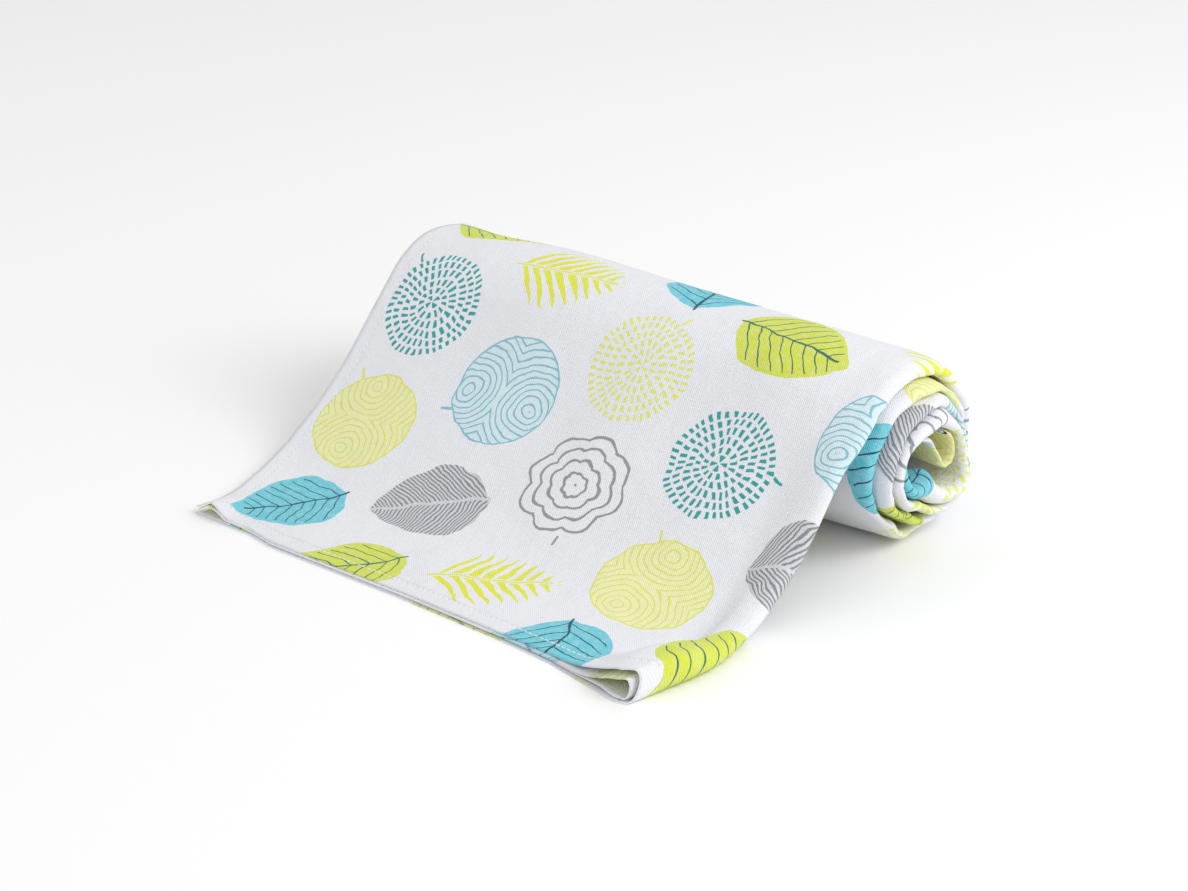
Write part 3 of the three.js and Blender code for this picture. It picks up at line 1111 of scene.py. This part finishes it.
    def cell_place(self, place: Socket) -> tuple[Socket, Socket, Socket, Socket]:
        """Which motif a place belongs to, and where in the motif it is.

        Every second column of cells drops by half a cell. Motif number = 3 column + row, counted round in
        nines. Each cell turns its motif by its own random angle, and a noise shifts places by up to 1.5,
        so that shapes and edges look drawn by hand.

        Args:
            place: Place on the cloth.

        Returns:
            x and y in the motif, the motif's number, and how blotchy the ink is.
        """
        add = self.nodes.add
        width, height = self.cell
        shaky = add("TexNoise", place, self.shake_scale, 4.0, 0.42, out=1, noise_dimensions="2D")
        offset = add("VectorMath", shaky, (0.5, 0.5, 0.5), operation="SUBTRACT")
        drawn = add("VectorMath", offset, (self.shake, self.shake, 0.0), place, operation="MULTIPLY_ADD")
        column = add("Math", add("SeparateXYZ", drawn), width, operation="DIVIDE")
        second = add("Math", add("Math", column, operation="FLOOR"), 2.0, operation="MODULO")
        drop = add("Math", second, height / 2, operation="MULTIPLY")
        dropped = add("VectorMath", drawn, add("CombineXYZ", 0.0, drop, 0.0), operation="ADD")
        cells = add("VectorMath", dropped, (width, height, 1.0), operation="DIVIDE")
        cell = add("VectorMath", cells, operation="FLOOR")
        inside = add("VectorMath", cells, operation="FRACTION")
        inside = add("VectorMath", inside, (0.5, 0.5, 0.0), operation="SUBTRACT")
        local = add("VectorMath", inside, (width, height, 0.0), operation="MULTIPLY")
        chance = add("TexWhiteNoise", cell, noise_dimensions="3D")
        angle = add("Math", chance, 2 * math.pi, operation="MULTIPLY")
        turned = add("VectorRotate", local, None, angle, rotation_type="Z_AXIS")
        number = add("VectorMath", cell, (3.0, 1.0, 0.0), out=0, operation="DOT_PRODUCT")
        kind = add("Math", number, float(len(Motif)), operation="MODULO")
        blotch = add("TexNoise", place, self.blotch_scale, 3.0, 0.7, noise_dimensions="2D")
        mottle = add("MapRange", blotch, *self.blotch_edges, self.palest_blotch, 1.0)
        return add("SeparateXYZ", turned), add("SeparateXYZ", turned, out=1), kind, mottle

    def inked(self, distance: Socket) -> Socket:
        """1 where distance is above zero and 0 below, with a soft edge as wide as ink_edge."""
        steepness = 1 / self.ink_edge
        return self.nodes.add("Math", distance, steepness, 0.5, operation="MULTIPLY_ADD", use_clamp=True)

    def line(self, half_width: float | Socket, off_middle: Socket) -> Socket:
        """A line, inked where the distance off its middle is less than half_width."""
        return self.inked(self.nodes.add("Math", half_width, off_middle, operation="SUBTRACT"))

    def off_line(self, value: Socket, half_pitch: float) -> Socket:
        """Distance from the nearest of many lines, which lie twice half_pitch apart along value."""
        zigzag = self.nodes.add("Math", value, half_pitch, operation="PINGPONG")
        return self.nodes.add("Math", zigzag, operation="ABSOLUTE")

    def drawing(self, x: Socket, y: Socket, kind: Socket) -> tuple[Socket, Socket, Socket, Socket]:
        """All the motifs, and the one that kind names.

        Args:
            x: Place across the motif.
            y: Place along the motif.
            kind: The motif's number.

        Returns:
            The colours of its ground and of its lines, where its lines are, and where its ground is.
        """
        add = self.nodes.add
        veins, hatch, fern, leaf = self.leaves(x, y)
        dashes, arcs, rosette, disc = self.heads(x, y)
        drawn = {
            Motif.TURQUOISE_LEAF: (veins, leaf),
            Motif.YELLOW_SHELL: (arcs, disc),
            Motif.DANDELION: (dashes, None),
            Motif.LIME_LEAF: (veins, leaf),
            Motif.GREY_LEAF: (hatch, leaf),
            Motif.BLUE_SHELL: (arcs, disc),
            Motif.FERN: (fern, None),
            Motif.ROSETTE: (rosette, None),
            Motif.YELLOW_DANDELION: (dashes, None),
        }
        lines = fills = 0.0
        for motif, (line, fill) in drawn.items():
            chosen = add("Math", kind, float(motif), 0.5, operation="COMPARE")
            lines = add("Math", line, chosen, lines, operation="MULTIPLY_ADD")
            if fill is not None:
                strength = add("Math", chosen, MOTIF_INKS[motif].strength, operation="MULTIPLY")
                fills = add("Math", fill, strength, fills, operation="MULTIPLY_ADD")
        share = add("Math", kind, len(Motif), operation="DIVIDE")
        ground_ink = self.motif_ink(share, [inks.ground for inks in MOTIF_INKS.values()])
        line_ink = self.motif_ink(share, [inks.lines for inks in MOTIF_INKS.values()])
        return ground_ink, line_ink, lines, fills

    def motif_ink(self, share: Socket, colours: list[str]) -> Socket:
        """The colour that the motif at a place is printed with, picked from one colour for each motif.

        Args:
            share: The motif's number over the number of motifs.
            colours: The motifs' colours in order, as sRGB hex.

        Returns:
            The colour.
        """
        colour = self.nodes.add("ValToRGB", share)
        ramp = colour.node.color_ramp
        ramp.interpolation = "CONSTANT"
        ramp.elements[0].color = linear(colours[0])
        for number, ink in enumerate(colours[1:], 1):
            ramp.elements.new((number - 0.5) / len(colours)).color = linear(ink)
        ramp.elements.remove(ramp.elements[-1])
        return colour

    def leaves(self, x: Socket, y: Socket) -> tuple[Socket, Socket, Socket, Socket]:
        """The leaf with veins, the hatched leaf and the fern.

        Veins leave the midrib every vein_pitch and climb by vein_climb for each millimetre out. Hatching
        does the same every third of that, and the fern's leaflets are thick veins that taper outwards.

        Args:
            x: Place across the motif.
            y: Place along the motif.

        Returns:
            Veins, hatching, fern, and the leaf's whole ground.
        """
        add = self.nodes.add
        out = add("Math", x, operation="ABSOLUTE")
        depth = self.leaf_depth(out, y)
        leaf = self.inked(depth)
        midrib = self.midrib(out, y)
        climbing = add("Math", out, -self.vein_climb, y, operation="MULTIPLY_ADD")
        off_vein = self.off_line(climbing, self.vein_pitch / 2)
        off_edge = self.inked(add("Math", depth, self.vein_off_edge, operation="SUBTRACT"))
        off_tip = add("Math", climbing, self.leaf_half_length - self.vein_off_tip, operation="LESS_THAN")
        open_part = add("Math", off_edge, off_tip, operation="MULTIPLY")
        vein = add("Math", self.line(self.vein_half_width, off_vein), open_part, operation="MULTIPLY")
        veins = add("Math", vein, midrib, operation="MAXIMUM")
        hatch = self.line(self.hatch_half_width, self.off_line(climbing, self.vein_pitch / 6))
        beside = add("Math", out, self.hatch_off_midrib, operation="GREATER_THAN")
        hatch = add("Math", add("Math", hatch, leaf, operation="MULTIPLY"), beside, operation="MULTIPLY")
        hatch = add("Math", hatch, add("Math", midrib, beside, operation="MULTIPLY"), operation="MAXIMUM")
        share = add("Math", depth, self.leaf_half_width, operation="DIVIDE", use_clamp=True)
        taper = add("Math", share, operation="SQRT")
        taper = add("Math", taper, self.leaflet_half_width, operation="MULTIPLY")
        beside = add("Math", out, self.leaflet_off_midrib, operation="GREATER_THAN")
        leaflet = add("Math", self.line(taper, off_vein), beside, operation="MULTIPLY")
        leaflet = add("Math", leaflet, leaf, operation="MULTIPLY")
        return veins, hatch, add("Math", leaflet, midrib, operation="MAXIMUM"), leaf

    def leaf_depth(self, out: Socket, y: Socket) -> Socket:
        """How far inside the leaf's edge a place is, measured across.

        The leaf's half width at y is leaf_half_width (1 - t^2) (1 + leaf_fuller t^2) (1 - leaf_narrower_tip
        t), where t is y over its half length.

        Args:
            out: Distance from the leaf's middle.
            y: Place along the leaf.

        Returns:
            The depth, negative outside the leaf.
        """
        add = self.nodes.add
        t = add("Math", y, self.leaf_half_length, operation="DIVIDE")
        squared = add("Math", t, t, operation="MULTIPLY")
        oval = add("Math", squared, -self.leaf_half_width, self.leaf_half_width, operation="MULTIPLY_ADD")
        fuller = add("Math", squared, self.leaf_fuller, 1.0, operation="MULTIPLY_ADD")
        egg = add("Math", t, -self.leaf_narrower_tip, 1.0, operation="MULTIPLY_ADD")
        half = add("Math", add("Math", oval, fuller, operation="MULTIPLY"), egg, operation="MULTIPLY")
        return add("Math", half, out, operation="SUBTRACT")

    def midrib(self, out: Socket, y: Socket) -> Socket:
        """The leaf's middle line, from just below its foot to below its tip.

        Args:
            out: Distance from the leaf's middle.
            y: Place along the leaf.

        Returns:
            Where the line is.
        """
        add = self.nodes.add
        below_tip = add("Math", y, self.leaf_half_length - self.midrib_off_tip, operation="LESS_THAN")
        foot = -self.leaf_half_length - self.midrib_past_foot
        ends = add("Math", below_tip, add("Math", y, foot, operation="GREATER_THAN"), operation="MULTIPLY")
        return add("Math", self.line(self.midrib_half_width, out), ends, operation="MULTIPLY")

    def heads(self, x: Socket, y: Socket) -> tuple[Socket, Socket, Socket, Socket]:
        """The dandelion of dashes, the shell of arcs and the rosette, each on a short stem.

        Args:
            x: Place across the motif.
            y: Place along the motif.

        Returns:
            Dashes, arcs, rosette, and the head's whole ground.
        """
        add = self.nodes.add
        lifted = add("Math", y, self.head_lift, operation="SUBTRACT")
        centred = add("CombineXYZ", x, lifted, 0.0)
        r = add("VectorMath", centred, out=0, operation="LENGTH")
        angle = add("Math", lifted, x, operation="ARCTAN2")
        disc = self.line(self.head_radius, r)
        stem = self.stem(x, y, lifted)
        drawn = self.dandelion(r, angle, disc), self.shell(centred, r, disc), self.rosette(r, angle)
        return *(add("Math", head, stem, operation="MAXIMUM") for head in drawn), disc

    def stem(self, x: Socket, y: Socket, lifted: Socket) -> Socket:
        """The short stem below a head, bent by stem_bend times the square of the way down.

        Args:
            x: Place across the motif.
            y: Place along the motif.
            lifted: Place along the motif, from the head's middle.

        Returns:
            Where the stem is.
        """
        add = self.nodes.add
        low = add("Math", y, -self.head_radius + self.head_lift, operation="LESS_THAN")
        end = add("Math", y, -self.head_radius - self.stem_length, operation="GREATER_THAN")
        squared = add("Math", lifted, lifted, operation="MULTIPLY")
        bent = add("Math", squared, self.stem_bend, x, operation="MULTIPLY_ADD")
        off_stem = add("Math", bent, -self.stem_off_middle, operation="ADD")
        off_stem = add("Math", off_stem, operation="ABSOLUTE")
        ends = add("Math", low, end, operation="MULTIPLY")
        return add("Math", self.line(self.stem_half_width, off_stem), ends, operation="MULTIPLY")

    def dandelion(self, r: Socket, angle: Socket, disc: Socket) -> Socket:
        """Rings of radial dashes, with more_in_next_ring more in each ring outwards.

        A place's distance off a dash is read in shares of the way from dash to dash, times dash_pitch, which
        is about how far apart they lie.

        Args:
            r: Distance from the head's middle.
            angle: Angle round it, in radians.
            disc: Where the head is.

        Returns:
            Where the dashes are.
        """
        add = self.nodes.add
        rings = add("Math", r, self.ring_pitch, operation="DIVIDE")
        ring = add("Math", rings, operation="FLOOR")
        per_ring = add("Math", ring, self.more_in_next_ring, self.dashes_in_middle, operation="MULTIPLY_ADD")
        turns = add("Math", angle, 1 / (2 * math.pi), operation="MULTIPLY")
        shifted = add("Math", ring, self.next_ring_shifts, operation="MULTIPLY")
        steps = add("Math", turns, per_ring, shifted, operation="MULTIPLY_ADD")
        off_dash = self.off_line(steps, 0.5)
        off_ring = self.off_line(add("Math", rings, 0.5, operation="ADD"), 0.5)
        thin = add("Math", off_dash, -self.dash_pitch, self.dash_half_width, operation="MULTIPLY_ADD")
        short = add("Math", off_ring, -self.ring_pitch, self.dash_half_length, operation="MULTIPLY_ADD")
        dashes = add("Math", self.inked(thin), self.inked(short), operation="MULTIPLY")
        return add("Math", dashes, disc, operation="MULTIPLY")

    def shell(self, centred: Socket, r: Socket, disc: Socket) -> Socket:
        """Arcs every arc_pitch, as circles about the nearer of arc_centres, inside a thin rim.

        Args:
            centred: Place from the head's middle.
            r: Distance from the head's middle.
            disc: Where the head is.

        Returns:
            Where the arcs and the rim are.
        """
        add = self.nodes.add
        low, high = self.arc_centres
        away = [add("VectorMath", centred, centre, out=0, operation="DISTANCE") for centre in (low, high)]
        off_arc = self.off_line(add("Math", *away, operation="MINIMUM"), self.arc_pitch / 2)
        arcs = add("Math", self.line(self.arc_half_width, off_arc), disc, operation="MULTIPLY")
        off_rim = add("Math", r, self.head_radius - self.shell_rim_half_width, operation="SUBTRACT")
        off_rim = add("Math", off_rim, operation="ABSOLUTE")
        return add("Math", arcs, self.line(self.shell_rim_half_width, off_rim), operation="MAXIMUM")

    def rosette(self, r: Socket, angle: Socket) -> Socket:
        """Wavy rings, where r / (1 + petal_wave_share |sin(petal_waves angle)|) is whole petal_pitches.

        Args:
            r: Distance from the head's middle.
            angle: Angle round it, in radians.

        Returns:
            Where the rings are.
        """
        add = self.nodes.add
        waves = add("Math", add("Math", angle, self.petal_waves, operation="MULTIPLY"), operation="SINE")
        waves = add("Math", waves, operation="ABSOLUTE")
        waves = add("Math", waves, self.petal_wave_share, 1.0, operation="MULTIPLY_ADD")
        petals = add("Math", r, waves, operation="DIVIDE")
        rings = self.line(self.petal_half_width, self.off_line(petals, self.petal_pitch / 2))
        inside = add("Math", petals, self.petal_rings * self.petal_pitch, operation="LESS_THAN")
        return add("Math", rings, inside, operation="MULTIPLY")


@dataclass(frozen=True)
class PlainFinish:
    """A painted studio surface of one even colour, which stands back behind the cloth."""

    name: str
    colour: str
    roughness: float

    def material(self) -> bpy.types.Material:
        """Makes the material.

        Returns:
            The material.
        """
        nodes = Nodes(self.name)
        nodes.shader.inputs["Base Color"].default_value = linear(self.colour)
        nodes.shader.inputs["Roughness"].default_value = self.roughness
        return nodes.material


# The studio


@dataclass
class Studio:
    """The pale floor, the soft lights and the camera.

    azimuth, elevation and distance say where the camera is as seen from target. focal_pixels is its focal
    length in pixels of a photograph that is photo_width wide.
    """

    photo_width: int = 1188
    azimuth: float = 38.468
    elevation: float = 24.150
    distance: float = 1.21981
    focal_pixels: float = 2489.92
    sensor_width: float = 36.0
    nearest_seen: float = 0.05
    target: Point = (0.01165, 0.00336, 0.040)
    floor_reach: float = 6.0
    floor_finish: PlainFinish = PlainFinish("matt white studio floor", "#FDFDFD", 0.8)
    room_strength: float = 0.73
    # (name, place, side of the square, power): a key from the right and behind, and a fill from the left
    soft_boxes: tuple[tuple[str, Point, float, float], ...] = (
        ("key", (1.5, 0.45, 1.35), 1.3, 19.0),
        ("fill", (-1.0, -1.6, 1.1), 1.8, 4.0),
    )

    def build(self) -> None:
        """Makes the floor, the white room with its lights, and the camera."""
        self.floor()
        self.room()
        for name, place, size, power in self.soft_boxes:
            self.soft_box(name, place, size, power)
        self.camera()

    def floor(self) -> None:
        """A wide pale floor just under the cloth."""
        reach = self.floor_reach
        mesh = bpy.data.meshes.new("floor")
        corners = [(-reach, -reach, 0), (reach, -reach, 0), (reach, reach, 0), (-reach, reach, 0)]
        mesh.from_pydata(corners, [], [(0, 1, 2, 3)])
        mesh.materials.append(self.floor_finish.material())
        floor = bpy.data.objects.new("floor", mesh)
        bpy.context.scene.collection.objects.link(floor)

    def room(self) -> None:
        """A white room that lights the cloth evenly from all round."""
        world = bpy.data.worlds.new("white room")
        bpy.context.scene.world = world
        world.use_nodes = True
        background = world.node_tree.nodes["Background"]
        background.inputs["Color"].default_value = (1, 1, 1, 1)
        background.inputs["Strength"].default_value = self.room_strength

    def soft_box(self, name: str, place: Point, size: float, power: float) -> None:
        """One square soft light, turned to the cloth.

        Args:
            name: What the light is called.
            place: Where it stands.
            size: Side of the square in metres.
            power: Its power in watts.
        """
        data = bpy.data.lights.new(name, "AREA")
        data.size = size
        data.energy = power
        lamp = bpy.data.objects.new(name, data)
        lamp.location = place
        lamp.rotation_mode = "QUATERNION"
        lamp.rotation_quaternion = (Vector(self.target) - Vector(place)).to_track_quat("-Z", "Y")
        bpy.context.scene.collection.objects.link(lamp)

    def camera(self) -> None:
        """The camera, at the photograph's angle and distance."""
        a, e = math.radians(self.azimuth), math.radians(self.elevation)
        back = Vector((math.sin(a) * math.cos(e), -math.cos(a) * math.cos(e), math.sin(e)))
        data = bpy.data.cameras.new("photo camera")
        data.sensor_width = self.sensor_width
        data.lens = self.sensor_width * self.focal_pixels / self.photo_width
        data.clip_start = self.nearest_seen
        camera = bpy.data.objects.new("photo_camera", data)
        camera.location = Vector(self.target) + back * self.distance
        camera.rotation_mode = "QUATERNION"
        camera.rotation_quaternion = (-back).to_track_quat("-Z", "Y")
        bpy.context.scene.collection.objects.link(camera)
        bpy.context.scene.camera = camera
        bpy.context.scene.view_settings.view_transform = "Standard"


def main() -> None:
    logging.basicConfig(level=logging.INFO, format="%(name)s: %(message)s")
    Studio().build()
    cloth = MuslinCloth()
    piece = cloth.build()
    piece.data.materials.append(PrintedMuslin().material())
    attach(piece, "root")
    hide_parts(CLOTH_NODE)
    log.info("%s: %d faces", piece.name, len(piece.data.polygons))


if __name__ == "__main__":
    main()
